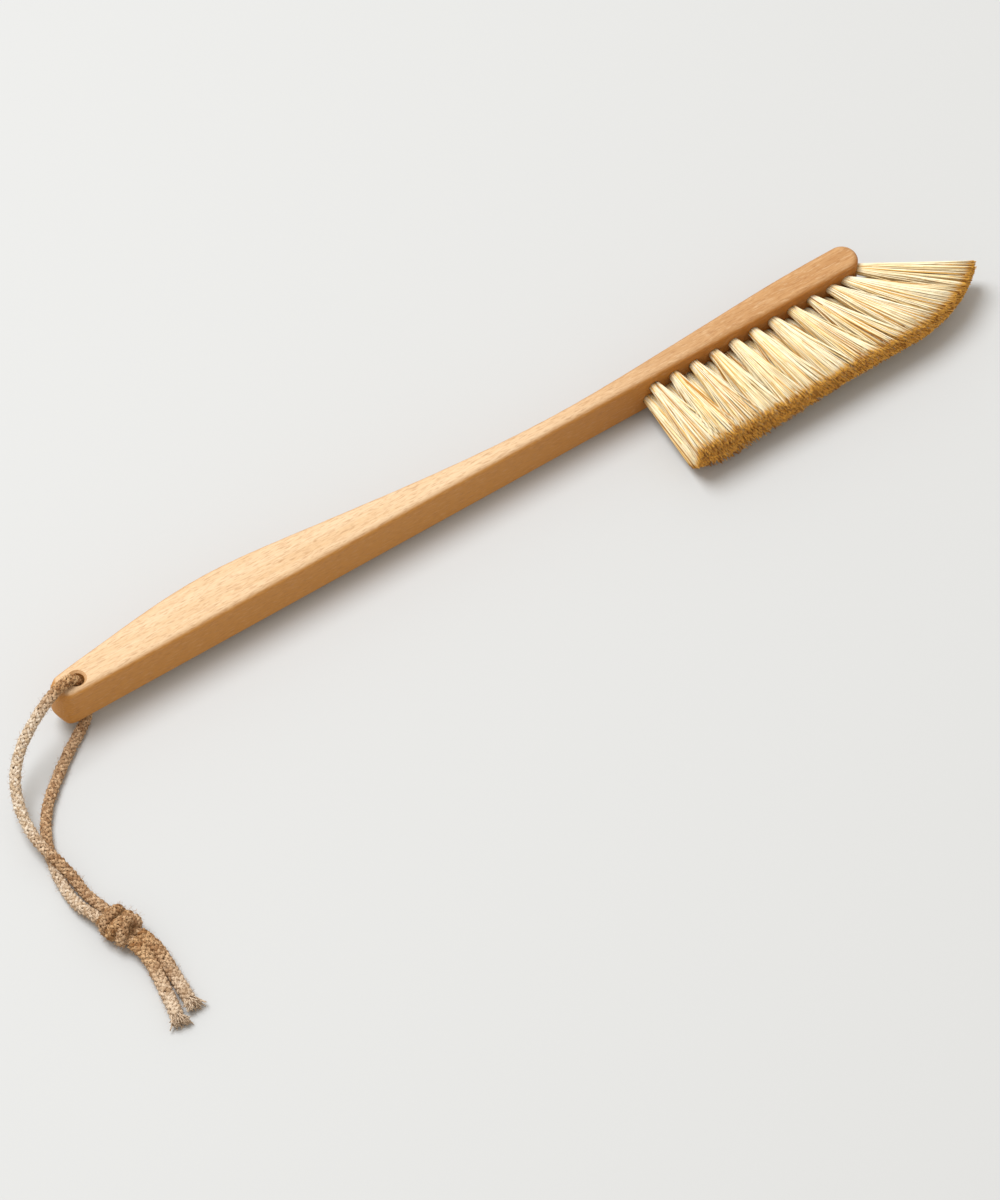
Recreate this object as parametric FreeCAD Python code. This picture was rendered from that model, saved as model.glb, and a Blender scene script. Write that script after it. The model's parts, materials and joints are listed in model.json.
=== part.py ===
"""Body dry brush: a one-piece beech stock, two rows of staple-set fibre tufts and a knotted cord loop.

Stock frame used while building, in millimetres: x runs from the butt to the toe, y = 0 is the edge of the
handle on the bristle side with the bristles towards -y, and z = 0 is the flat side that lies on the table.
The finished pieces are tilted, because the butt rests on its cord, and moved so that the origin is the
middle of the bottom of the brush without its cord.
"""
import FreeCAD, Part
import math
import os
from FreeCAD import Vector

os.makedirs("parts", exist_ok=True)

# Stock: the handle and the head are one board
HANDLE_LENGTH = 282.0
HEAD_LENGTH = 118.0
THICKNESS = 22.0
EDGE_RADIUS = 3.0
TOE_RADIUS = 6.8
BUTT_RADIUS = 7.4
SHOULDER_RADIUS = 5.0
SHOULDER_ANGLE = 12.0
BUTT_BEVEL_HEIGHT = 6.0
BUTT_BEVEL_DEPTH = 4.0

# Width of the board at stations along the handle, counted from the butt
GRIP_START, GRIP_START_WIDTH = 20.5, 14.9
GRIP_MIDDLE, GRIP_WIDTH = 82.0, 21.1
GRIP_END, GRIP_END_WIDTH = 118.6, 18.3
TAPER, TAPER_WIDTH = 192.0, 10.4

# Width at stations counted from where the head starts
NECK, NECK_WIDTH = -32.0, 7.7
HEEL, HEEL_WIDTH = 10.0, 9.2
HEAD_MIDDLE, HEAD_WIDTH = 58.0, 12.0

# Shallow step that the bristle side of the head is planed to
RELIEF_DEPTH = 0.3

# Cord hole through the flat sides
CORD_DIAMETER = 4.5
CORD_PLAY = 0.85
CORD_HOLE_FROM_BUTT = 11.3
CORD_HOLE_FROM_EDGE = 6.0
CORD_HOLE_CHAMFER = 1.0
GAP_UNDER_BUTT = 0.4

# Tufts and their holes
TUFTS_PER_ROW = 12
FIRST_TUFT_FROM_HEAD_START = 9.5
LAST_FLAT_TUFT_BEFORE_TOE_CENTRE = 2.35
LAST_FLAT_STEP = 8.0
TOE_TUFT_ANGLE = 50.0
ROW_STAGGER = 3.0
ROW_SPACING = 6.4
TUFT_DIAMETER = 4.6
HOLE_PLAY = 0.2
HOLE_DEPTH = 6.2
HOLE_WALL = 0.45

# Trimmed ends of the bristles
TRIM_DISTANCE = 41.0
TRIM_START_FROM_HEAD_START = 2.0
TRIM_BEND_BEFORE_TOE = 2.0
TRIM_RADIUS = 65.0
TRIM_SWEEP = 45.7
TIP_WIDTH_GROWTH = 0.0078
TIP_HALF_HEIGHT = 9.4
TIP_GAP = 0.3

# Anchors: flat strips that the fibres fold over
ANCHOR_BITE = 0.6
ANCHOR_HEIGHT = 1.6
ANCHOR_THICKNESS = 0.4
ANCHOR_FOLD = 0.8
ANCHOR_PLAY = 0.05

# Knot of the doubled cord
KNOT_LENGTH = 17.0
KNOT_END_RADIUS = 5.0
KNOT_RADIUS = 6.2

# Cord route. x and y count from the axis of the cord hole and z counts from the table.
UPPER_LEG = [
    (0.25, -0.1, 19.4), (0, 0, 29.4), (-9.9, -1.6, 29.7), (-17.0, -3.6, 27.6), (-24.5, -6.3, 24.2),
    (-32.0, -9.6, 19.8), (-38.3, -14.2, 15.6), (-43.2, -20.6, 12.2), (-46.8, -29.3, 9.7),
    (-48.6, -39.5, 8.2), (-48.4, -48.5, 7.4), (-46.8, -57.0, 7.4), (-45.0, -65.3, 4.6),
    (-44.8, -74.0, 2.7), (-44.16, -81.98, 5.6), (-42.48, -87.74, 5.6),
]
LOWER_LEG = [
    (0.25, -0.1, 19.4), (0.435, -0.174, 12.0), (0, 0, 2.3), (-4.6, -8.6, 2.3), (-12.2, -12.6, 2.3),
    (-20.4, -18.4, 2.3), (-28.6, -24.8, 2.3), (-36.2, -32.0, 2.3), (-42.2, -40.6, 2.3),
    (-46.4, -50.6, 2.3), (-49.2, -61.4, 2.3), (-50.4, -70.6, 2.6), (-50.4, -78.3, 4.2),
    (-48.96, -83.38, 5.6), (-47.28, -89.14, 5.6),
]
KNOT_MIDDLE = (-42.5, -96.6, 6.4)
KNOT_DIRECTION = (0.28, -0.96, 0)
RIGHT_TAIL = [
    (-37.72, -104.06, 5.6), (-35.9, -110.3, 5.6), (-35.2, -118.8, 3.6), (-35.2, -126.4, 2.45),
    (-35.7, -133.6, 2.4), (-36.5, -140.2, 2.5),
]
LEFT_TAIL = [
    (-42.52, -105.46, 5.6), (-40.7, -111.7, 5.6), (-41.7, -120.0, 3.4), (-43.6, -128.2, 2.45),
    (-45.0, -136.0, 2.4), (-46.6, -143.4, 2.5),
]

# Sizes that follow from the ones above
LENGTH = HANDLE_LENGTH + HEAD_LENGTH
MIDDLE = THICKNESS / 2
CORD_RADIUS = CORD_DIAMETER / 2
CORD_HOLE_RADIUS = CORD_RADIUS + CORD_PLAY
TUFT_RADIUS = TUFT_DIAMETER / 2
TUFT_HOLE_RADIUS = TUFT_RADIUS + HOLE_PLAY
TOE_CENTRE = Vector(LENGTH - TOE_RADIUS, TOE_RADIUS, 0)
FIRST_TUFT = HANDLE_LENGTH + FIRST_TUFT_FROM_HEAD_START
LAST_FLAT_TUFT = TOE_CENTRE.x - LAST_FLAT_TUFT_BEFORE_TOE_CENTRE
TRIM_START = HANDLE_LENGTH + TRIM_START_FROM_HEAD_START
TRIM_BEND = LENGTH - TRIM_BEND_BEFORE_TOE
TRIM_LENGTH = TRIM_BEND - TRIM_START + TRIM_RADIUS * math.radians(TRIM_SWEEP)
UP = Vector(0, 0, 1)


def box(low, high):
    size = Vector(*high) - Vector(*low)
    return Part.makeBox(size.x, size.y, size.z, Vector(*low))


def arc_about(centre, radius, start, end):
    """Arc in the plan from one angle to another, in degrees."""
    on_arc = []
    for angle in (start, (start + end) / 2, end):
        turn = math.radians(angle)
        on_arc.append(centre + Vector(radius * math.cos(turn), radius * math.sin(turn), 0))
    return Part.Arc(*on_arc).toShape()


def stock_outline():
    shoulder = math.radians(SHOULDER_ANGLE)
    back_start = Vector(SHOULDER_RADIUS - SHOULDER_RADIUS * math.sin(shoulder),
                        BUTT_RADIUS + SHOULDER_RADIUS * math.cos(shoulder), 0)
    back_end = Vector(LENGTH - TOE_RADIUS, 2 * TOE_RADIUS, 0)
    between = [(GRIP_START, GRIP_START_WIDTH), (GRIP_MIDDLE, GRIP_WIDTH), (GRIP_END, GRIP_END_WIDTH),
               (TAPER, TAPER_WIDTH), (HANDLE_LENGTH + NECK, NECK_WIDTH),
               (HANDLE_LENGTH + HEEL, HEEL_WIDTH), (HANDLE_LENGTH + HEAD_MIDDLE, HEAD_WIDTH)]
    back = Part.BSplineCurve()
    back.interpolate(Points=[back_start] + [Vector(x, width, 0) for x, width in between] + [back_end],
                     InitialTangent=Vector(math.cos(shoulder), math.sin(shoulder), 0),
                     FinalTangent=Vector(1, 0, 0), Scale=True)
    edges = [
        Part.LineSegment(Vector(BUTT_RADIUS, 0, 0), Vector(TOE_CENTRE.x, 0, 0)).toShape(),
        arc_about(TOE_CENTRE, TOE_RADIUS, -90, 90),
        back.toShape(),
        arc_about(Vector(SHOULDER_RADIUS, BUTT_RADIUS, 0), SHOULDER_RADIUS, 90 + SHOULDER_ANGLE, 180),
        arc_about(Vector(BUTT_RADIUS, BUTT_RADIUS, 0), BUTT_RADIUS, 180, 270),
    ]
    return Part.Face(Part.Wire(Part.__sortEdges__(edges)))


def stock_blank():
    """Board cut to its outline, with the butt bevelled on both flat sides and every edge rounded."""
    blank = stock_outline().extrude(UP * THICKNESS)
    wedge_side = Part.makePolygon([Vector(0, 0, 0), Vector(BUTT_BEVEL_DEPTH, 0, 0),
                                   Vector(0, 0, BUTT_BEVEL_HEIGHT), Vector(0, 0, 0)])
    wedge = Part.Face(wedge_side).extrude(Vector(0, LENGTH, 0))
    blank = blank.cut([wedge, wedge.mirror(Vector(0, 0, MIDDLE), UP)])
    seam = THICKNESS - 2 * BUTT_BEVEL_HEIGHT
    rounded = [edge for edge in blank.Edges if edge.BoundBox.ZLength < seam - 0.1]
    return blank.makeFillet(EDGE_RADIUS, rounded)


def cord_hole():
    centre = Vector(CORD_HOLE_FROM_BUTT, CORD_HOLE_FROM_EDGE, 0)
    chamfer_radius = CORD_HOLE_RADIUS + CORD_HOLE_CHAMFER
    drill = Part.makeCylinder(CORD_HOLE_RADIUS, THICKNESS, centre)
    lower = Part.makeCone(chamfer_radius, CORD_HOLE_RADIUS, CORD_HOLE_CHAMFER, centre)
    upper = Part.makeCone(CORD_HOLE_RADIUS, chamfer_radius, CORD_HOLE_CHAMFER,
                          centre + UP * (THICKNESS - CORD_HOLE_CHAMFER))
    return drill.fuse([lower, upper])


def toe_hole_depth():
    """Depth that leaves a wall between the slanted hole round the toe and the last straight one."""
    turn = math.radians(TOE_TUFT_ANGLE)
    reach = TUFT_HOLE_RADIUS * (1 + math.cos(turn)) + HOLE_WALL - LAST_FLAT_TUFT_BEFORE_TOE_CENTRE
    return TOE_RADIUS - RELIEF_DEPTH - reach / math.sin(turn)


class Seat:
    """Where one tuft is set: its mouth on the bristle side, the way out and the way along the row."""

    def __init__(self, place, height):
        bend = (place - TOE_CENTRE.x) / TOE_RADIUS
        if bend > 0:
            self.out = Vector(math.sin(bend), -math.cos(bend), 0)
            self.mouth = TOE_CENTRE + self.out * (TOE_RADIUS - RELIEF_DEPTH)
        else:
            self.out = Vector(0, -1, 0)
            self.mouth = Vector(place, RELIEF_DEPTH, 0)
        self.mouth.z = height
        self.along = Vector(-self.out.y, self.out.x, 0)
        self.depth = toe_hole_depth() if bend > 0 else HOLE_DEPTH
        self.bottom = self.mouth - self.out * self.depth

    def hole(self):
        overrun = 2 * RELIEF_DEPTH
        return Part.makeCylinder(TUFT_HOLE_RADIUS, self.depth + overrun, self.bottom, self.out)

    def strip(self, play):
        """Anchor across the hole, larger all round by the play."""
        half = TUFT_HOLE_RADIUS + ANCHOR_BITE + play
        thick = ANCHOR_THICKNESS / 2 + play
        low = self.bottom + self.out * (ANCHOR_FOLD - play)
        corners = [low + self.along * half + UP * thick, low + self.along * half - UP * thick,
                   low - self.along * half - UP * thick, low - self.along * half + UP * thick]
        side = Part.Face(Part.makePolygon(corners + corners[:1]))
        return side.extrude(self.out * (ANCHOR_HEIGHT + 2 * play))


def trim_point(distance, height):
    """Point on the trimmed surface, at a distance along it from the heel."""
    straight = TRIM_BEND - TRIM_START
    if distance <= straight:
        return Vector(TRIM_START + distance, -TRIM_DISTANCE, height)
    bend = (distance - straight) / TRIM_RADIUS
    return Vector(TRIM_BEND + TRIM_RADIUS * math.sin(bend),
                  TRIM_RADIUS - TRIM_DISTANCE - TRIM_RADIUS * math.cos(bend), height)


def tip_edges():
    """Where the tips of neighbouring tufts meet; they fan out, so the tips widen towards the toe."""
    growth = [TIP_WIDTH_GROWTH * number ** 3 for number in range(TUFTS_PER_ROW)]
    heel_width = (TRIM_LENGTH - sum(growth)) / TUFTS_PER_ROW
    edges = [0.0]
    for extra in growth:
        edges.append(edges[-1] + heel_width + extra)
    return edges


def row_places():
    """Places of one row of tufts along the bristle side; the last one is round the toe."""
    steps = TUFTS_PER_ROW - 3
    pitch = (LAST_FLAT_TUFT - LAST_FLAT_STEP - FIRST_TUFT) / steps
    places = [FIRST_TUFT + number * pitch for number in range(steps + 1)]
    return places + [LAST_FLAT_TUFT, TOE_CENTRE.x + TOE_RADIUS * math.radians(TOE_TUFT_ANGLE)]


def tuft(seat, heel_side, toe_side, low, high):
    """Round shank in its hole, then a flare from the round root to a four-sided cell of the trimmed surface."""
    root = []
    for quarter in range(4):
        turns = [math.radians(45 + 90 * quarter + step) for step in (0, 45, 90)]
        root.append(Part.Arc(*[seat.mouth + (seat.along * math.cos(turn) + UP * math.sin(turn)) * TUFT_RADIUS
                               for turn in turns]).toShape())
    tip = [trim_point(toe_side, high), trim_point(heel_side, high),
           trim_point(heel_side, low), trim_point(toe_side, low)]
    flare = Part.makeLoft([Part.Wire(root), Part.makePolygon(tip + tip[:1])], True, True)
    shank = Part.makeCylinder(TUFT_RADIUS, seat.depth, seat.bottom, seat.out)
    return shank.fuse(flare).cut(seat.strip(ANCHOR_PLAY))


def cord_path(points):
    """Straight runs joined by tangent arcs, each as large as its two runs allow."""
    corners = [Vector(*point) for point in points]
    edges, radii = [], []
    start = corners[0]
    for before, corner, after in zip(corners, corners[1:], corners[2:]):
        arrive, leave = (corner - before), (after - corner)
        tangent = 0.45 * min(arrive.Length, leave.Length)
        arrive.normalize()
        leave.normalize()
        half_turn = arrive.getAngle(leave) / 2
        radius = tangent / math.tan(half_turn)
        first, last = corner - arrive * tangent, corner + leave * tangent
        inward = (leave - arrive).normalize()
        middle = corner + inward * (radius / math.cos(half_turn) - radius)
        edges.append(Part.LineSegment(start, first).toShape())
        edges.append(Part.Arc(first, middle, last).toShape())
        radii.append(radius)
        start = last
    edges.append(Part.LineSegment(start, corners[-1]).toShape())
    return Part.Wire(edges), radii


def cord(name, points):
    path, radii = cord_path(points)
    along = Vector(*points[1]) - Vector(*points[0])
    section = Part.Wire(Part.makeCircle(CORD_RADIUS, Vector(*points[0]), along))
    tube = path.makePipeShell([section], True, False)
    expected = math.pi * CORD_RADIUS ** 2 * path.Length
    print(f"{name}: length {path.Length:.1f}, volume / (section x length) {tube.Volume / expected:.4f},"
          f" radii {[round(radius, 1) for radius in radii]}")
    return tube


def knot():
    half = KNOT_LENGTH / 2
    belly = Part.Arc(Vector(KNOT_END_RADIUS, 0, -half), Vector(KNOT_RADIUS, 0, 0),
                     Vector(KNOT_END_RADIUS, 0, half)).toShape()
    ends = Part.makePolygon([Vector(KNOT_END_RADIUS, 0, half), Vector(0, 0, half), Vector(0, 0, -half),
                             Vector(KNOT_END_RADIUS, 0, -half)])
    barrel = Part.Face(Part.Wire([belly] + ends.Edges)).revolve(Vector(), UP, 360)
    barrel.Placement = FreeCAD.Placement(Vector(*KNOT_MIDDLE), FreeCAD.Rotation(UP, Vector(*KNOT_DIRECTION)))
    return barrel


def brush_pieces():
    """Stock, tufts and anchors in the stock frame."""
    pieces, holes, strips = {}, [cord_hole()], []
    relief = box((HANDLE_LENGTH, -RELIEF_DEPTH, -RELIEF_DEPTH),
                 (LENGTH + RELIEF_DEPTH, RELIEF_DEPTH, THICKNESS + RELIEF_DEPTH))
    edges = tip_edges()
    rows = [("upper", 0.0, ROW_SPACING / 2, TIP_GAP / 2, TIP_HALF_HEIGHT),
            ("lower", ROW_STAGGER, -ROW_SPACING / 2, -TIP_HALF_HEIGHT, -TIP_GAP / 2)]
    for row, stagger, offset, low, high in rows:
        for number, place in enumerate(row_places()):
            seat = Seat(place - stagger, MIDDLE + offset)
            pieces[f"tuft_{row}_{number + 1:02d}"] = tuft(
                seat, edges[number] + TIP_GAP / 2, edges[number + 1] - TIP_GAP / 2,
                MIDDLE + low, MIDDLE + high)
            holes.append(seat.hole())
            strips.append(seat.strip(0))
    pieces["tuft_anchors"] = Part.makeCompound(strips)
    pieces["stock"] = stock_blank().cut(relief).cut(holes).cut(strips)
    return pieces


def set_down(pieces):
    """Tilt about the toe, lift the butt by the cord under it, then centre the brush on its own origin."""
    lift = CORD_DIAMETER + GAP_UNDER_BUTT
    toe_rest = LENGTH - EDGE_RADIUS
    tilt = math.degrees(math.asin(lift / (toe_rest - CORD_HOLE_FROM_BUTT)))
    for shape in pieces.values():
        shape.rotate(Vector(toe_rest, 0, 0), Vector(0, 1, 0), tilt)
    bounds = Part.makeCompound(list(pieces.values())).optimalBoundingBox(False)
    shift = Vector(-bounds.Center.x, -bounds.Center.y, -bounds.ZMin)
    for shape in pieces.values():
        shape.translate(shift)
    hole = Vector(CORD_HOLE_FROM_BUTT, CORD_HOLE_FROM_EDGE, MIDDLE)
    turned = FreeCAD.Rotation(Vector(0, 1, 0), tilt).multVec(hole - Vector(toe_rest, 0, 0))
    return turned + Vector(toe_rest, 0, 0) + shift


def main():
    pieces = brush_pieces()
    hole = set_down(pieces)
    print(f"tilted brush: cord hole axis at x {hole.x:.3f}, y {hole.y:.3f}, middle at z {hole.z:.3f}")
    routes = {"cord_upper_leg": UPPER_LEG, "cord_lower_leg": LOWER_LEG,
              "cord_right_tail": RIGHT_TAIL, "cord_left_tail": LEFT_TAIL}
    for name, points in routes.items():
        pieces[name] = cord(name, points)
    pieces["cord_knot"] = knot()
    for name in list(routes) + ["cord_knot"]:
        pieces[name].translate(Vector(hole.x, hole.y, 0))
    for name, shape in pieces.items():
        if not shape.isValid():
            print(f"{name} is not a valid shape")
        shape.exportStep(f"parts/{name}.step")


main()
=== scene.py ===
import json
import math

import bpy
import numpy as np
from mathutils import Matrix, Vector


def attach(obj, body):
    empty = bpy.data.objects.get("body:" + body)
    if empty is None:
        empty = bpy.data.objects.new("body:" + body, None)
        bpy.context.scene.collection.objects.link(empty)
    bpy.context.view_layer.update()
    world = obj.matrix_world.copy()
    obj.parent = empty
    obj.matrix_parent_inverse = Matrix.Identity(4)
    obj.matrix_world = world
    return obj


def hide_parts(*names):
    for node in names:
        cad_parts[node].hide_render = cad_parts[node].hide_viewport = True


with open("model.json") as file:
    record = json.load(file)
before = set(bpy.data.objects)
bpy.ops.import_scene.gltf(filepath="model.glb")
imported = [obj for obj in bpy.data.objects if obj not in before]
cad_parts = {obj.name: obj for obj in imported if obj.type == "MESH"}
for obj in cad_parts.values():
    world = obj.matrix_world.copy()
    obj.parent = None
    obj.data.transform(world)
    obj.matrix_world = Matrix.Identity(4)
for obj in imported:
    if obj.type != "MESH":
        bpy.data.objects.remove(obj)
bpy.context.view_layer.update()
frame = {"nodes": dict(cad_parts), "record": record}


# --- Stock ---------------------------------------------------------------------------------------------
# One board of steamed beech is the handle and the head. Its outline is bandsawn, its edges are rounded,
# and it is sanded along the grain and oiled, which leaves a satin face with short dark ray flecks.

mm = 0.001


def linear(red, green, blue):
    """Colour given the way a paint card gives it, 0 to 255, as the shader needs it."""
    return tuple(((level / 255 + 0.055) / 1.055) ** 2.4 if level > 10 else level / 255 / 12.92
                 for level in (red, green, blue)) + (1.0,)


class Shade:
    """One value in a material. Plain arithmetic on it adds the Math nodes that work it out."""

    def __init__(self, tree, socket=None):
        self.tree, self.socket = tree, socket

    def node(self, kind, values, out=0, stops=None, **settings):
        """Adds a node of another kind, sets it up, then gives its sockets values or links.

        The first two stops of a ramp are its ends, and the others go between them.
        """
        made = self.tree.nodes.new("ShaderNode" + kind)
        for setting, value in settings.items():
            setattr(made, setting, value)
        for place, (position, colour) in enumerate(stops or []):
            ramp = made.color_ramp.elements
            stop = ramp[place] if place < 2 else ramp.new(position)
            stop.position, stop.color = position, colour
        for name, value in values.items():
            if isinstance(value, Shade):
                self.tree.links.new(value.socket, made.inputs[name])
            else:
                made.inputs[name].default_value = value
        return Shade(self.tree, made.outputs[out])

    def math(self, operation, *terms):
        return self.node("Math", dict(enumerate(terms)), operation=operation)

    def __add__(self, other):
        return self.math("ADD", self, other)

    def __radd__(self, other):
        return self.math("ADD", other, self)

    def __sub__(self, other):
        return self.math("SUBTRACT", self, other)

    def __rsub__(self, other):
        return self.math("SUBTRACT", other, self)

    def __mul__(self, other):
        return self.math("MULTIPLY", self, other)

    def __rmul__(self, other):
        return self.math("MULTIPLY", other, self)

    def __truediv__(self, other):
        return self.math("DIVIDE", self, other)

    def between(self, low, high):
        """0 below the low value and 1 above the high one, with a soft step."""
        return self.node("MapRange", {"Value": self, "From Min": low, "From Max": high},
                         interpolation_type="SMOOTHSTEP")

    def mix(self, one, other):
        """Colour that goes from one to the other as this value goes from 0 to 1."""
        # The colour sockets of a Mix node share their names with others, so they go by number.
        return self.node("Mix", {0: self, 6: one, 7: other}, out=2, data_type="RGBA")

    def noise(self, place, scale, detail=2.0, **sizes):
        return self.node("TexNoise", {"Vector": place, "Scale": scale, "Detail": detail, **sizes})

    def stretched(self, place, along, across, up, turn=(0, 0, 0)):
        """The place with each of its ways stretched: how often a pattern of scale 1 repeats in a metre."""
        return self.node("Mapping", {"Vector": place, "Scale": (along, across, up), "Rotation": turn})


def new_material(name, roughness, **constants):
    """Material with its Principled shader; gives the material, the shader and a Shade to build from."""
    made = bpy.data.materials.new(name)
    made.use_nodes = True
    shader = made.node_tree.nodes["Principled BSDF"]
    shader.inputs["Roughness"].default_value = roughness
    for socket, value in constants.items():
        shader.inputs[socket.replace("_", " ")].default_value = value
    return made, shader, Shade(made.node_tree)


def feed(shader, socket, value):
    value.tree.links.new(value.socket, shader.inputs[socket])


def bump(value, strength, distance):
    return value.node("Bump", {"Height": value, "Strength": strength, "Distance": distance})


def beech():
    """Beech with its rings and streaks along the board, ray flecks, pale glints and fine pores.

    The head is a little browner than the handle. The narrow sides are painted a deeper brown than
    the flat ones, deeper still at the head: painted shade on the sides that face away from the light.
    The pale glints are painted highlights.
    """
    made, shader, wood = new_material("oiled_beech", 0.5, Specular_IOR_Level=0.22)
    place = wood.node("TexCoord", {}, out="Object")
    rings = wood.noise(wood.stretched(place, 5, 95, 60, (0.25, 0.006, 0.012)), 1.0, 3.0, Distortion=0.4)
    streaks = wood.noise(wood.stretched(place, 45, 760, 600), 1.0, 4.0, Roughness=0.65)
    rays = wood.noise(wood.stretched(place, 230, 1500, 1400), 1.0, 1.0).between(0.52, 0.68)
    # Painted highlights: pale glints mixed into the base colour, weaker on the sides.
    painted_glints = wood.noise(wood.stretched(place, 250, 1500, 1300, (0, 0.3, 0)), 1.0, 1.0).between(0.55, 0.7)
    pores = wood.noise(wood.stretched(place, 300, 2600, 2600), 1.0, 1.0).between(0.55, 0.7)
    along = wood.node("SeparateXYZ", {"Vector": place}, out="X")
    facing_up = wood.node("SeparateXYZ", {"Vector": wood.node("TexCoord", {}, out="Normal")}, out="Z")
    # Faces that turn from up towards the side get a deeper, warmer brown: painted shade.
    painted_side_shade = 1 - facing_up.math("ABSOLUTE", facing_up).between(0.45, 0.98)
    head = along.between(-0.04, 0.15)
    pale = head.mix(linear(228, 197, 159), linear(206, 160, 110))
    deep = head.mix(linear(211, 172, 126), linear(180, 130, 80))
    ground = (rings * 0.7 + streaks * 0.5 - 0.12).between(0.25, 0.8).mix(pale, deep)
    # Painted shade: the sides' deeper brown stands for the shade on faces turned away from the light.
    sides = painted_side_shade.mix(ground, head.mix(linear(194, 134, 64), linear(172, 110, 44)))
    flecked = (rays * 0.27).mix(sides, linear(164, 106, 56))
    lit = (painted_glints * (0.22 - painted_side_shade * 0.13)).mix(flecked, linear(240, 212, 172))
    feed(shader, "Base Color", (pores * 0.3).mix(lit, linear(140, 88, 44)))
    feed(shader, "Roughness", 0.42 + streaks * 0.16)
    feed(shader, "Normal", bump(streaks * 0.6 - rays * 0.35 - pores * 0.5, 0.25, 0.00025))
    return made


stock = frame["nodes"]["stock"]
stock.data.materials.clear()
stock.data.materials.append(beech())

# The cord hole says where the board lies: its axis is square to the flat sides, and the butt is a little
# higher than the toe. Places on the board count in millimetres from the butt, the bristle side and the
# flat side underneath.
cord_hole = next(mount for mount in frame["record"]["mounts"] if mount["name"] == "cord_hole")
hole_place = Vector(cord_hole["pos_m"])
square_up = Vector(cord_hole["axis"]).normalized()
along_board = Vector((square_up.z, 0, -square_up.x))
hole_on_board = (11.3, 6.0, 11.0)


def on_board(points):
    """Rows of x, y and z on the board, as rows of places in metres."""
    moved = (np.atleast_2d(points) - hole_on_board) * mm
    return (np.array(hole_place) + moved[:, :1] * np.array(along_board) + moved[:, 1:2] * (0, 1, 0)
            + moved[:, 2:] * np.array(square_up))


# --- Tufts ---------------------------------------------------------------------------------------------
# Each tuft is a bunch of stiff plant fibre folded double in its drilled hole. Twelve holes make the upper
# row and twelve the lower, a little nearer the heel. The ends are trimmed level after setting, on one
# straight cut that turns upwards round the toe.

fibre_sides, fibre_steps = 4, 6


def unit_fibre():
    """One straight fibre, a unit long and a unit in radius, drawn out of a small closed end."""
    bpy.ops.object.select_all(action="DESELECT")
    bpy.ops.mesh.primitive_circle_add(vertices=fibre_sides, radius=1, fill_type="NGON")
    made = bpy.context.object
    bpy.ops.object.mode_set(mode="EDIT")
    bpy.ops.mesh.select_all(action="SELECT")
    for _ in range(fibre_steps):
        bpy.ops.mesh.extrude_region_move(TRANSFORM_OT_translate={"value": (0, 0, 1 / fibre_steps)})
    bpy.ops.mesh.select_all(action="SELECT")
    bpy.ops.mesh.normals_make_consistent(inside=False)
    bpy.ops.object.mode_set(mode="OBJECT")
    corners = np.array([corner.co for corner in made.data.vertices])
    faces = [tuple(face.vertices) for face in made.data.polygons]
    bpy.data.objects.remove(made)
    return corners, faces


def fibre_object(name, corners, faces, tones, lengths):
    """Object of fibres or strands. Each corner's tone and its way along go in the UV map."""
    mesh = bpy.data.meshes.new(name)
    mesh.from_pydata(corners.tolist(), [], faces)
    loops = np.zeros(len(mesh.loops), int)
    mesh.loops.foreach_get("vertex_index", loops)
    uv = np.stack([tones[loops], lengths[loops]], 1)
    mesh.uv_layers.new(name="fibre").data.foreach_set("uv", uv.ravel())
    made = bpy.data.objects.new(name, mesh)
    bpy.context.collection.objects.link(made)
    return made


fibre_corners, fibre_faces = unit_fibre()
thinnest_fibre, thickest_fibre, cut_size = 0.18, 0.32, 0.75
off_line = (0.13, 0.21, 0.97)
about_a_turn = 6.28


def bunch(name, paths, thickness, tones):
    """Mesh of many fibres, one along each path, each thinner towards its cut end."""
    ring = np.rint(fibre_corners[:, 2] * fibre_steps).astype(int)
    paths = np.asarray(paths)
    count = len(paths)
    way = paths[:, -1] - paths[:, 0]
    way /= np.linalg.norm(way, axis=1, keepdims=True)
    side = np.cross(off_line, way)
    side /= np.linalg.norm(side, axis=1, keepdims=True)
    over = np.cross(side, way)
    taper = 1 - (1 - cut_size) * (ring / fibre_steps) ** 2
    spread = side[:, None] * fibre_corners[None, :, :1] + over[:, None] * fibre_corners[None, :, 1:2]
    places = paths[:, ring] + spread * taper[None, :, None] * np.reshape(thickness, (-1, 1, 1))
    # Side, over and way are a left-handed set, so every face is turned over to point outwards.
    faces = [tuple(corner + number * len(fibre_corners) for corner in face[::-1])
             for number in range(count) for face in fibre_faces]
    made = fibre_object(name, places.reshape(-1, 3), faces, np.repeat(tones, len(fibre_corners)),
                        np.tile(ring / fibre_steps, count))
    made.data.shade_smooth()
    return made


def plant_fibre():
    """Cream to straw plant fibre, with painted shade at its hole and on its golden brown cut end."""
    made, shader, fibre = new_material("plant_bristle", 0.55, Specular_IOR_Level=0.3)
    place = fibre.node("UVMap", {}, uv_map="fibre")
    tone = fibre.node("SeparateXYZ", {"Vector": place}, out="X")
    along = fibre.node("SeparateXYZ", {"Vector": place}, out="Y")
    body = fibre.node("ValToRGB", {"Fac": tone}, stops=[
        (0.0, linear(254, 244, 216)), (1.0, linear(184, 116, 36)),
        (0.3, linear(251, 232, 184)), (0.55, linear(242, 204, 126)), (0.8, linear(220, 158, 62))])
    blotch = fibre.noise(fibre.node("TexCoord", {}, out="Object"), 260.0, 3.0)
    worn = (blotch.between(0.45, 0.75) * 0.3).mix(body, linear(228, 184, 104))
    # Painted shade: the first few hundredths of each fibre, where it leaves the hole, are darker.
    root = (1 - along.between(0.0, 0.06)) * 0.35
    shaded = root.mix(worn, linear(204, 144, 62))
    cut = along.between(0.94, 0.99) * 0.95
    # Golden brown cut ends, darker on darker fibres: partly own colour, partly painted shade.
    cut_end_and_shade = tone.between(0.05, 0.75).mix(linear(246, 184, 66), linear(150, 88, 20))
    feed(shader, "Base Color", cut.mix(shaded, cut_end_and_shade))
    return made


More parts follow.
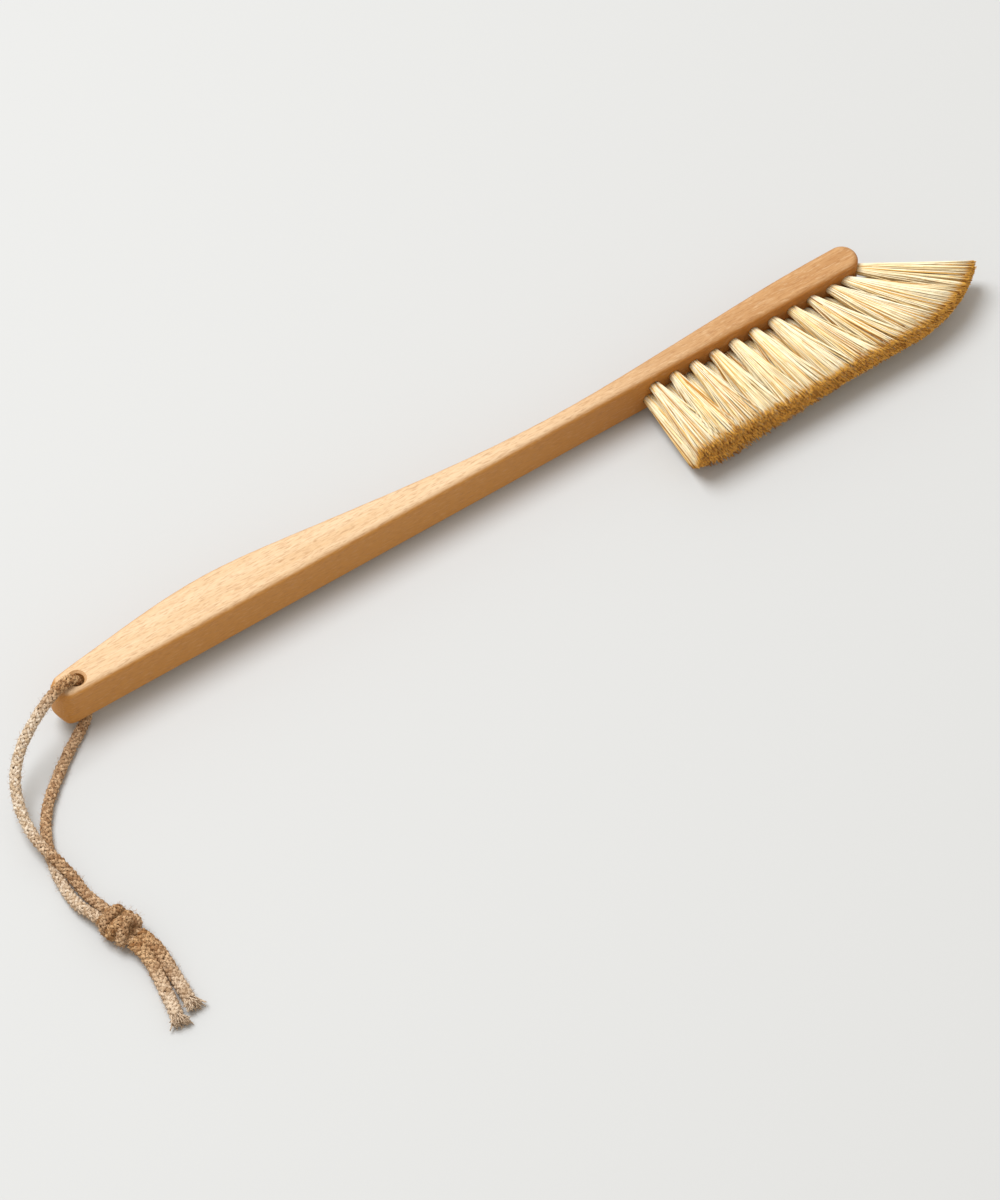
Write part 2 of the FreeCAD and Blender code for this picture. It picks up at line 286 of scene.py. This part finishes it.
# The holes of a row, by place along the board: ten at one pitch, one where the bristle side ends and one
# round the toe. The bristle side of the head is cut back a little from that of the handle.
tufts_per_row, evenly_spaced = 12, 10
heel_start, head_end, toe_round, step_depth = 282.0, 400.0, 6.8, 0.3
toe_middle, toe_turn = head_end - toe_round, math.radians(50)
first_place, last_straight, last_step = heel_start + 9.5, toe_middle - 2.35, 8.0
tuft_pitch = (last_straight - last_step - first_place) / (evenly_spaced - 1)
tuft_places = [first_place + number * tuft_pitch for number in range(evenly_spaced)]
tuft_places += [last_straight, toe_middle + toe_round * toe_turn]
row_stagger = {"upper": 0.0, "lower": 3.0}
hole_height = {"upper": 14.2, "lower": 7.8}
bunch_radius = 2.25

# The cut, and the share of it that each tuft's tips fill. Shares grow towards the toe.
trim_start, trim_bend, trim_distance = heel_start + 2, head_end - 2, 41.0
trim_round, trim_sweep = 65.0, math.radians(45.7)
trim_centre = trim_round - trim_distance
trim_length = trim_bend - trim_start + trim_round * trim_sweep
share_growth = np.array([0.0078 * number ** 3 for number in range(tufts_per_row)])
even_share = (trim_length - share_growth.sum()) / tufts_per_row
share_edges = np.concatenate([[0], np.cumsum(even_share + share_growth)])
share_gap, trim_margin = 0.1, 0.15

# The tips of each row, by height over the table. Towards the toe the lower row lifts into the upper one,
# and the end of the brush leans back as it rises.
tip_heights = {"upper": (10.2, 20.4), "lower": (2.4, 12.6)}
row_lift = {"upper": 0.0, "lower": 6.5}
lowest_tip, toe_lean = 2.2, 0.36


def on_trim(distance, height):
    """Places on the trimmed surface, at distances along it."""
    turn = np.clip(distance - (trim_bend - trim_start), 0, None) / trim_round
    straight = np.minimum(distance, trim_bend - trim_start)
    return np.stack([trim_start + straight + trim_round * np.sin(turn),
                     trim_centre - trim_round * np.cos(turn), height], 1)


def tuft_seat(place):
    """Mouth of a tuft's hole on the bristle side, and the ways out of it and along the row."""
    turn = max(0, place - toe_middle) / toe_round
    out = np.array([math.sin(turn), -math.cos(turn), 0])
    reach = toe_round - step_depth
    mouth = np.array([min(place, toe_middle), toe_round, 0]) + out * reach
    return mouth, out, np.array([-out[1], out[0], 0])


def fan(rng, row, number, count):
    """Paths of one tuft's fibres, from inside its hole to the trim, and the tone of each fibre."""
    mouth, out, along = tuft_seat(tuft_places[number] - row_stagger[row])
    mouth[2] = hole_height[row]
    spot = rng.uniform(-1, 1, (count, 2))
    far = np.maximum(np.abs(spot[:, 0]), np.abs(spot[:, 1]))
    length = np.linalg.norm(spot, axis=1) + 1e-9
    disc = spot / length[:, None] * far[:, None] * bunch_radius
    root = mouth + disc[:, :1] * along + disc[:, 1:] * (0, 0, 1)

    # Most tips stay in the tuft's own share of the cut, and about a fifth stray over its neighbours'.
    low_edge, high_edge = share_edges[number] + share_gap, share_edges[number + 1] - share_gap
    stray = rng.random(count) < 0.22
    spread = np.where(stray, rng.normal(0, 3.2, count), rng.normal(0, 0.55, count))
    share = (low_edge + high_edge) / 2 + spot[:, 0] * (high_edge - low_edge) / 2 + spread
    bottom, top = tip_heights[row]
    height = (bottom + top) / 2 + spot[:, 1] * (top - bottom) / 2 + rng.normal(0, 0.9, count)
    height = np.clip(height, bottom - rng.uniform(0, 0.6, count), top + rng.uniform(0, 0.6, count))
    thinned = np.clip((share - 8) / 70, 0, 1) * (top - height) / (top - bottom)
    height = height + row_lift[row] * thinned
    toe_end = trim_length - trim_margin - (height - lowest_tip) * toe_lean
    inside = np.where(share > toe_end, toe_end - rng.uniform(0, 5, count), share)
    share = np.clip(inside, trim_margin, None)

    # The cut stands a little proud at the heel, its ends are ragged, and its low corner at the heel is
    # rounded off.
    bow = 1.5 * np.clip(1 - share / 125, 0, 1) ** 0.5
    ragged = np.abs(rng.normal(0, 1.2, count))
    ragged = ragged + np.where(rng.random(count) < 0.08, rng.uniform(0, 4, count), 0)
    low = np.clip((9 - height) / 7, 0, 1)
    heel_corner = np.clip(1 - share / 14, 0, 1) * low * 6
    longer = bow - ragged - heel_corner - 1.2 * thinned
    tip = on_trim(share, height)
    tip = tip + (tip - root) / np.linalg.norm(tip - root, axis=1)[:, None] * longer[:, None]

    # A fibre leaves its hole almost straight out, bends over to its tip and has a faint crimp.
    reach = np.linalg.norm(tip - root, axis=1, keepdims=True)
    elbow = root * 0.62 + tip * 0.38 + out * reach * 0.035
    elbow += rng.normal(0, 0.45, (count, 3)) * (1, 1, 0.6)
    way = np.linspace(-0.045, 1, fibre_steps + 1)[None, :, None]
    path = ((1 - way) ** 2 * root[:, None] + 2 * way * (1 - way) * elbow[:, None]
            + way * way * tip[:, None])
    waves = rng.uniform(5, 11, (count, 1, 1))
    crimp = np.sin(way * waves + rng.uniform(0, about_a_turn, (count, 1, 1)))
    path = path + crimp * np.clip(way, 0, 1) * (1 - way) * rng.normal(0, 0.5, (count, 1, 3))
    # Fibres low in a tuft, and most of all in the lower row, get a darker tone: painted shade.
    tone = np.clip(rng.beta(0.6, 1.9, count) + 0.1 * (1 - spot[:, 1]) + 0.3 * low, 0, 1)
    return on_board(path.reshape(-1, 3)).reshape(count, fibre_steps + 1, 3), tone


plant_bristle = plant_fibre()
fewest_fibres, fibres_per_growth = 280, 18
for row, row_seed in (("upper", 5), ("lower", 12)):
    for number in range(tufts_per_row):
        rng = np.random.default_rng([number, row_seed])
        count = int(fewest_fibres + fibres_per_growth * share_growth[number])
        paths, tones = fan(rng, row, number, count)
        thickness = rng.uniform(thinnest_fibre, thickest_fibre, count) * mm
        made = bunch(f"fibres_{row}_{number + 1:02d}", paths, thickness, tones)
        made.data.materials.append(plant_bristle)
        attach(made, "root")
        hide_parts(f"tuft_{row}_{number + 1:02d}")


# --- Anchors -------------------------------------------------------------------------------------------
# A short flat strip of brass lies across each hole, where the fibres fold over it. The setting machine
# presses its ends into the beech, and nothing else holds the tuft.

anchor_brass, anchor_shader, strip = new_material("anchor_brass", 0.35, Metallic=1.0)
strip_place = strip.node("TexCoord", {}, out="Object")
scuffs = strip.noise(strip.stretched(strip_place, 300, 300, 2500), 1.0, 3.0)
feed(anchor_shader, "Base Color", scuffs.mix(linear(214, 180, 104), linear(150, 116, 58)))
feed(anchor_shader, "Roughness", 0.25 + scuffs * 0.3)
anchors = frame["nodes"]["tuft_anchors"]
anchors.data.materials.clear()
anchors.data.materials.append(anchor_brass)


# --- Hanging cord --------------------------------------------------------------------------------------
# One length of braided jute, ten strands round a core, goes through the butt and is doubled. The points
# of each route count in millimetres from the axis of the hole and from the table.

ring_spacing, lowest_strand, lowest_hair = 0.00045, 0.00005, 0.0001
strands_each_way, core_size, strand_rest, strand_weave = 5, 0.56, 0.72, 0.13
hair_radius, uv_per_metre, core_shade_tone = 0.000045, 40, 1.0


def cord_line(name, points):
    """Smooth line through a cord's route: a spline with the route's points as its control points."""
    shape = bpy.data.curves.new(name, "CURVE")
    shape.dimensions = "3D"
    shape.resolution_u = 16
    spline = shape.splines.new("NURBS")
    spline.points.add(len(points) - 1)
    for point, (x, y, z) in zip(spline.points, points):
        point.co = (hole_place.x + x * mm, hole_place.y + y * mm, z * mm, 1)
    spline.order_u = 3
    spline.use_endpoint_u = True
    holder = bpy.data.objects.new(name, shape)
    bpy.context.collection.objects.link(holder)
    line = bpy.data.meshes.new_from_object(holder)
    places = np.array([corner.co for corner in line.vertices])
    bpy.data.objects.remove(holder)
    return places


def even(places, spacing):
    """The same line with its places evenly spaced."""
    gone = np.concatenate([[0], np.cumsum(np.linalg.norm(np.diff(places, axis=0), axis=1))])
    steps = np.linspace(0, gone[-1], int(gone[-1] / spacing))
    return np.stack([np.interp(steps, gone, places[:, axis]) for axis in range(3)], 1), steps


def ways(places):
    """Way along a line at each place, with two square ways that do not twist round it."""
    along = np.gradient(places, axis=0)
    along /= np.linalg.norm(along, axis=1, keepdims=True)
    side = np.cross(along[0], (0, 0, 1) if abs(along[0][2]) < 0.8 else (1, 0, 0))
    sides = []
    for way in along:
        side = side - way * np.dot(side, way)
        side = side / np.linalg.norm(side)
        sides.append(side)
    sides = np.array(sides)
    return along, sides, np.cross(along, sides)


def skin(rings):
    """Closed tube through rings of places, as corners and faces."""
    steps, around = rings.shape[:2]
    faces = [tuple(range(around))[::-1], tuple((steps - 1) * around + spot for spot in range(around))]
    for step in range(steps - 1):
        for spot in range(around):
            one, other = step * around + spot, step * around + (spot + 1) % around
            faces.append((one, other, other + around, one + around))
    return rings.reshape(-1, 3), faces


def round_each(middles, one, other, corners):
    """A ring of corners round each place of a line, from two ways across it, as long as its radius."""
    turn = np.linspace(0, 2 * math.pi, corners, endpoint=False)[None, :, None]
    return middles[:, None] + (one[:, None] * np.cos(turn) + other[:, None] * np.sin(turn))


def braid(name, line, radius, rng, lay, hairs, hair_reach):
    """Braided cord along a line: a core, strands that pass over and under, and loose hairs."""
    places, gone = even(line, ring_spacing)
    along, side, over = ways(places)
    corners, faces, tones, lengths = [], [], [], []

    def gather(rings, tone):
        points, quads = skin(rings)
        points[:, 2] = np.maximum(points[:, 2], lowest_strand)
        offset = sum(len(tube) for tube in corners)
        corners.append(points)
        faces.extend(tuple(corner + offset for corner in quad) for quad in quads)
        tones.append(np.full(len(points), tone))
        lengths.append(np.repeat(gone[:len(rings)], rings.shape[1]) * uv_per_metre)

    core = radius * core_size
    # The core is painted dark brown: painted shade for the gaps between strands, where it shows.
    gather(round_each(places, side * core, over * core, 8), core_shade_tone)
    spin = 2 * math.pi / lay
    thick, wide = radius * 0.2, radius * 0.3
    for hand in (1, -1):
        for strand in range(strands_each_way):
            phase = rng.uniform(0, about_a_turn, 3)
            slack = 0.05 * np.sin(gone * 640 + phase[0]) + 0.05 * np.sin(gone * 1500 + phase[1])
            angle = hand * spin * gone + 2 * math.pi * strand / strands_each_way + slack * 2.2
            outward = side * np.cos(angle)[:, None] + over * np.sin(angle)[:, None]
            weave = hand * strand_weave * np.cos(strands_each_way * spin * gone)
            lift = radius * (strand_rest + slack * 0.8 + weave)
            middle = places + outward * lift[:, None]
            way = np.gradient(middle, axis=0)
            way /= np.linalg.norm(way, axis=1, keepdims=True)
            flat = np.cross(way, outward)
            flat /= np.linalg.norm(flat, axis=1, keepdims=True)
            gather(round_each(middle, outward * thick, flat * -wide, 6), rng.uniform(0.05, 0.8))
    for _ in range(hairs):
        at = rng.integers(2, len(places) - 3)
        angle = rng.uniform(0, 2 * math.pi)
        outward = side[at] * math.cos(angle) + over[at] * math.sin(angle)
        lean = along[at] * rng.uniform(-1.4, 1.4) + np.cross(along[at], outward) * rng.uniform(-1, 1)
        share = np.linspace(0, 1, 4)[:, None]
        reach = hair_reach * rng.uniform(0.25, 1)
        hair = places[at] + outward * (radius * 0.9 + reach * share) + lean * reach * share * share
        hair[:, 2] = np.maximum(hair[:, 2], lowest_hair)
        across = np.cross(outward, along[at])
        gather(round_each(hair, along[at][None] * hair_radius, across[None] * hair_radius, 3),
               rng.uniform(0, 0.35))
    made = fibre_object(name, np.concatenate(corners), faces, np.concatenate(tones), np.concatenate(lengths))
    bpy.ops.object.select_all(action="DESELECT")
    bpy.context.view_layer.objects.active = made
    made.select_set(True)
    bpy.ops.object.mode_set(mode="EDIT")
    bpy.ops.mesh.select_all(action="SELECT")
    bpy.ops.mesh.normals_make_consistent(inside=False)
    bpy.ops.object.mode_set(mode="OBJECT")
    made.data.shade_smooth()
    return made, places


longest_cord = 132.0
uv_per_cord = longest_cord * mm * uv_per_metre


def jute(name, wear_and_shade):
    """Jute that is pale or brown by millimetres along the cord: brown for wear and for painted shade."""
    made, shader, yarn = new_material(name, 0.85, Specular_IOR_Level=0.15)
    place = yarn.node("TexCoord", {}, out="Object")
    marks = yarn.node("UVMap", {}, uv_map="fibre")
    tone = yarn.node("SeparateXYZ", {"Vector": marks}, out="X")
    along = yarn.node("SeparateXYZ", {"Vector": marks}, out="Y")
    brown = yarn.node("ValToRGB", {"Fac": along / uv_per_cord}, stops=[
        (at / longest_cord, (level, level, level, 1)) for at, level in wear_and_shade])
    lint = yarn.noise(place, 1500.0, 3.0, Roughness=0.75)
    patches = yarn.noise(place, 420.0, 2.0)
    light = brown.mix(linear(236, 223, 203), linear(206, 164, 116))
    middle = brown.mix(linear(208, 184, 152), linear(146, 98, 54))
    deep = brown.mix(linear(150, 116, 84), linear(72, 42, 20))
    worn = (tone * 0.6 + patches * 0.9 - 0.35).between(0.1, 0.7).mix(light, middle)
    strand = (lint.between(0.5, 0.6) * 0.85).mix(worn, deep)
    # Painted shade: the core's tone turns it dark brown where it shows between the strands.
    feed(shader, "Base Color", tone.between(0.85, 0.97).mix(strand, linear(64, 42, 24)))
    feed(shader, "Normal", bump(lint, 0.7, 0.0003))
    return made


# Brown stretches: partly wear from handling, partly painted shade where the cord lies in shadow.
jute_upper = jute("jute_upper_leg", [
    (0, 1.0), (longest_cord, 0.75), (18, 0.95), (32, 0.12), (78, 0.1), (98, 0.85)])
jute_lower = jute("jute_lower_leg", [
    (0, 1.0), (longest_cord, 0.6), (30, 0.75), (84, 0.85), (98, 0.25), (116, 0.3)])
jute_tail = jute("jute_tail", [(0, 1.0), (longest_cord, 0.2), (12, 0.85), (30, 0.4)])
jute_knot = jute("jute_knot", [(0, 1.0), (longest_cord, 1.0), (10, 0.95), (18, 0.8)])
cord_thickness, cord_radius, tail_radius = 4.5 * mm, 2.4 * mm, 2.9 * mm
cord_lay, leg_hairs, tail_hairs = 0.0115, 620, 260
leg_hair_reach, tail_hair_reach = 1.7 * mm, 1.6 * mm
upper_route = [
    (0.25, -0.1, 19.4), (0, 0, 29.4), (-9.9, -1.6, 29.7), (-17.0, -3.6, 27.6), (-24.5, -6.3, 24.2),
    (-32.0, -9.6, 19.8), (-38.3, -14.2, 15.6), (-43.2, -20.6, 12.2), (-46.8, -29.3, 9.7),
    (-48.6, -39.5, 8.2), (-48.4, -48.5, 7.4), (-46.8, -57.0, 7.4), (-45.0, -65.3, 4.6),
    (-44.8, -74.0, 2.7), (-44.16, -81.98, 5.6), (-42.48, -87.74, 5.6),
]
lower_route = [
    (0.25, -0.1, 19.4), (0.435, -0.174, 12.0), (3.4, -1.5, 2.3), (-4.2, -7.4, 2.3), (-13.2, -12.8, 2.3),
    (-20.4, -18.4, 2.3), (-28.6, -24.8, 2.3), (-36.2, -32.0, 2.3), (-42.2, -40.6, 2.3),
    (-46.4, -50.6, 2.3), (-49.2, -61.4, 2.3), (-50.4, -70.6, 2.6), (-50.4, -78.3, 4.2),
    (-48.96, -83.38, 5.6), (-47.28, -89.14, 5.6),
]
right_route = [
    (-37.72, -104.06, 5.6), (-35.9, -110.3, 5.6), (-35.7, -118.8, 3.6), (-36.3, -126.4, 2.6),
    (-36.9, -133.0, 2.6), (-37.6, -138.6, 2.6),
]
left_route = [
    (-42.52, -105.46, 5.6), (-40.7, -111.7, 5.6), (-41.3, -120.0, 3.4), (-42.7, -128.2, 2.6),
    (-44.0, -135.4, 2.6), (-45.4, -142.0, 2.6),
]
cord_rng = np.random.default_rng(41)
upper_leg, upper_line = braid("braided_upper_leg", cord_line("upper", upper_route), cord_radius, cord_rng,
                              cord_lay, leg_hairs, leg_hair_reach)
lower_leg, lower_line = braid("braided_lower_leg", cord_line("lower", lower_route), cord_radius, cord_rng,
                              cord_lay, leg_hairs, leg_hair_reach)
right_tail, right_line = braid("braided_right_tail", cord_line("right", right_route), tail_radius, cord_rng,
                               cord_lay, tail_hairs, tail_hair_reach)
left_tail, left_line = braid("braided_left_tail", cord_line("left", left_route), tail_radius, cord_rng,
                             cord_lay, tail_hairs, tail_hair_reach)


# --- Knot ----------------------------------------------------------------------------------------------
# The doubled cord is tied in one overhand knot. The two legs go in side by side, a turn of cord is drawn
# tight round them like a collar, and two more turns lie across the top towards the tails.

knot_middle = Vector((hole_place.x - 42.5 * mm, hole_place.y - 96.6 * mm, 6.4 * mm))
knot_way, knot_side = Vector((0.28, -0.96, 0)), Vector((0.96, 0.28, 0))


def in_knot(points):
    """Places in the knot in millimetres along it, across it and up, given from the cord hole."""
    made = []
    for along, across, up in points:
        place = knot_middle + knot_way * (along * mm) + knot_side * (across * mm) + Vector((0, 0, up * mm))
        made.append(((place.x - hole_place.x) / mm, (place.y - hole_place.y) / mm, place.z / mm))
    return made


through_left = in_knot([
    (-8.6, -2.5, -0.8), (-5, -2.0, -0.6), (0, -1.5, -0.4), (5, -2.0, -0.6), (8.6, -2.5, -0.8)])
through_right = in_knot([
    (-8.6, 2.5, -0.8), (-5, 2.0, -0.6), (0, 1.6, -0.4), (5, 2.0, -0.6), (8.6, 2.5, -0.8)])
collar_turn = in_knot([
    (-2.0, 1.6, -4.0), (-3.4, 4.6, -2.6), (-4.3, 5.1, 1.2), (-4.6, 2.4, 4.2), (-4.5, -2.2, 4.3),
    (-4.1, -5.1, 1.6), (-3.6, -4.9, -2.2), (-2.6, -1.6, -4.1), (-0.4, 2.0, -4.0)])
cross_turn = in_knot([
    (-0.6, -2.4, -4.0), (-0.6, -5.2, -1.6), (-0.4, -5.1, 2.0), (0.6, -2.0, 4.7), (2.2, 2.2, 4.8),
    (4.0, 5.2, 2.2), (4.4, 5.2, -1.6), (3.0, 2.0, -4.0)])
tuck_turn = in_knot([
    (0.2, 2.4, -4.0), (-0.4, 5.2, -1.8), (-0.2, 5.3, 1.6), (1.2, 2.2, 4.0), (3.6, -2.2, 4.1),
    (4.9, -4.9, 1.4), (4.6, -4.8, -2.0), (3.0, -1.6, -4.0)])
knot_lay, knot_hairs, knot_hair_reach = 0.009, 320, 2.1 * mm
knot_parts = []
for turn_name, turn_route, turn_radius in (
        ("knot_left_through", through_left, 2.3 * mm),
        ("knot_right_through", through_right, 2.3 * mm),
        ("knot_collar_turn", collar_turn, 2.3 * mm),
        ("knot_cross_turn", cross_turn, 2.5 * mm),
        ("knot_tuck_turn", tuck_turn, 2.4 * mm)):
    part, _ = braid(turn_name, cord_line(turn_name, turn_route), turn_radius, cord_rng,
                    knot_lay, knot_hairs, knot_hair_reach)
    part.data.materials.append(jute_knot)
    knot_parts.append(part)
for part in knot_parts:
    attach(part, "root")
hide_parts("cord_knot")


# --- Frayed ends ---------------------------------------------------------------------------------------
# Each tail is cut with shears and left raw. Its yarns have come loose there and splay out over the table
# in two bunches.

fray_reach, lowest_yarn = 6.0 * mm, 0.25 * mm


def fray(name, line, rng, count, splay, leans):
    """Loose yarn ends from the last of a tail's line, in bunches that lean apart."""
    along, side, over = (way[-1] for way in ways(line))
    paths = []
    for number in range(count):
        lean = leans[number % len(leans)]
        spot = rng.normal(0, 0.45, 2)
        start = line[-1] - along * 1.5 * mm + (side * spot[0] + over * spot[1]) * 1.5 * mm
        tip = (start + along * fray_reach * rng.uniform(0.6, 1.1)
               + side * fray_reach * (lean + splay * rng.normal(0, 0.5))
               + np.array((0, 0, 1)) * fray_reach * rng.normal(0.03, 0.2))
        middle = start * 0.5 + tip * 0.5 + rng.normal(0, 0.5 * mm, 3)
        share = np.linspace(0, 1, fibre_steps + 1)[:, None]
        path = (1 - share) ** 2 * start + 2 * share * (1 - share) * middle + share * share * tip
        path[:, 2] = np.maximum(path[:, 2], lowest_yarn)
        paths.append(path)
    thickness = rng.uniform(thinnest_fibre, thickest_fibre, count) * mm
    made = bunch(name, paths, thickness, rng.uniform(0.0, 0.5, count))
    made.data.materials.append(frayed_jute)
    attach(made, "root")
    return made


frayed_jute = jute("frayed_jute", [(0, 0.4), (longest_cord, 0.4)])
right_fray = fray("right_frayed_end", right_line, cord_rng, 130, 0.38, (-0.35, 0.2))
left_fray = fray("left_frayed_end", left_line, cord_rng, 140, 0.32, (-0.4, 0.35))


def route_start(route):
    """The place in metres where a cord's route begins."""
    x, y, z = route[0]
    return (hole_place.x + x * mm, hole_place.y + y * mm, z * mm)


for leg, line, route, node, cord_colour, length, far_end, pieces in (
        (upper_leg, upper_line, upper_route, "cord_upper_leg", jute_upper, 0.131, "knot", knot_parts),
        (lower_leg, lower_line, lower_route, "cord_lower_leg", jute_lower, 0.125, "knot", []),
        (right_tail, right_line, right_route, "cord_right_tail", jute_tail, 0.0367, "bare", [right_fray]),
        (left_tail, left_line, left_route, "cord_left_tail", jute_tail, 0.039, "bare", [left_fray])):
    leg.data.materials.append(cord_colour)
    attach(leg, "root")
    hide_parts(node)
    route_start(route)


# --- Table, light and camera ---------------------------------------------------------------------------
# The brush lies on a plain pale table. One large soft light stands beyond it, and a dimmer warm light
# comes from all round.

table_size = 8
bpy.ops.object.select_all(action="DESELECT")
bpy.ops.mesh.primitive_plane_add(size=table_size, location=(0, 0, 0))
table = bpy.context.object
table.name = "table"
pale_table, table_shader, _ = new_material("pale_table", 0.6, Specular_IOR_Level=0.2)
table_shader.inputs["Base Color"].default_value = linear(200, 200, 198)
table.data.materials.append(pale_table)


key_place = Vector((-0.63, 0.91, 2.8))
key_lamp = bpy.data.lights.new("key", "AREA")
key_lamp.shape, key_lamp.size = "DISK", 1.9
key_lamp.energy, key_lamp.color = 88, (0.91, 0.95, 1.0)
key_light = bpy.data.objects.new("key", key_lamp)
bpy.context.collection.objects.link(key_light)
key_light.location = key_place
key_light.rotation_mode = "QUATERNION"
key_light.rotation_quaternion = (-key_place).to_track_quat("-Z", "Y")

studio = bpy.data.worlds.new("studio")
studio.use_nodes = True
background = studio.node_tree.nodes["Background"]
background.inputs["Color"].default_value = (1.0, 0.945, 0.88, 1)
background.inputs["Strength"].default_value = 0.66
bpy.context.scene.world = studio
bpy.context.scene.view_settings.view_transform = "Standard"

swing, height_angle, distance = math.radians(-34.74), math.radians(55), 2.5
aim_past_hole = (171.7, -49.6)
aim = Vector((hole_place.x + aim_past_hole[0] * mm, hole_place.y + aim_past_hole[1] * mm, 0))
back = Vector((math.sin(swing) * math.cos(height_angle), -math.cos(swing) * math.cos(height_angle),
               math.sin(height_angle)))
camera = bpy.data.objects.new("camera", bpy.data.cameras.new("camera"))
bpy.context.collection.objects.link(camera)
camera.data.lens = 183.45
camera.location = aim + back * distance
camera.rotation_mode = "QUATERNION"
camera.rotation_quaternion = (-back).to_track_quat("-Z", "Y")
bpy.context.scene.camera = camera
